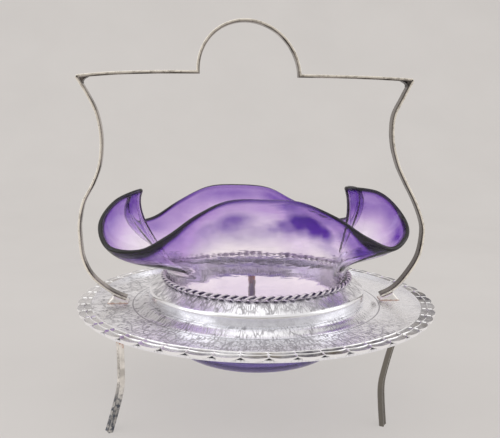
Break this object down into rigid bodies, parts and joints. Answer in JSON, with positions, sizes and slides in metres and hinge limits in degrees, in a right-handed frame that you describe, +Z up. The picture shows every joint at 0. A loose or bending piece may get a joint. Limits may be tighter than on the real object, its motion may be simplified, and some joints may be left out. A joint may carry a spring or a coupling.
{
  "type": "sweetmeat dish",
  "caption": "Silver-plated sweetmeat stand with beaded tray, strap handle and curved strip legs, holding a lift-out crimped amethyst glass bowl in an engraved collar",
  "frame": {"origin": "on the table, under the middle of the tray", "axes": "+Z up, +X towards the right end of the handle, -Y towards the front of the picture"},
  "size_m": [0.1902, 0.1902, 0.2042],
  "materials": {
    "silver_plate": "polished silver plate, engraved and lightly tarnished",
    "worn_silver_plate": "worn and darkened silver plate",
    "solder_and_bared_metal": "solder and bared copper tone where the plate has gone",
    "amethyst_glass": "clear blown glass shading to amethyst at the rim"
  },
  "bodies": {
    "stand": {"tray_plate": "silver_plate", "tray_border": "silver_plate", "bowl_collar": "silver_plate", "collar_wire": "worn_silver_plate", "handle_rail": "worn_silver_plate", "handle_arm_left": "worn_silver_plate", "handle_arm_right": "worn_silver_plate", "corner_solder_left": "solder_and_bared_metal", "corner_solder_right": "solder_and_bared_metal", "handle_pad_left": "solder_and_bared_metal", "handle_pad_right": "solder_and_bared_metal", "leg_left": "worn_silver_plate", "leg_right": "worn_silver_plate", "leg_back": "worn_silver_plate", "leg_solder_left": "solder_and_bared_metal", "leg_solder_right": "solder_and_bared_metal", "leg_solder_back": "solder_and_bared_metal"},
    "bowl": {"glass_bowl": "amethyst_glass"}
  },
  "joints": [
    {"name": "bowl_lift", "type": "slide", "parent": "stand", "child": "bowl", "axis": [0, 0, 1], "range_m": [0, 0.018]}
  ]
}
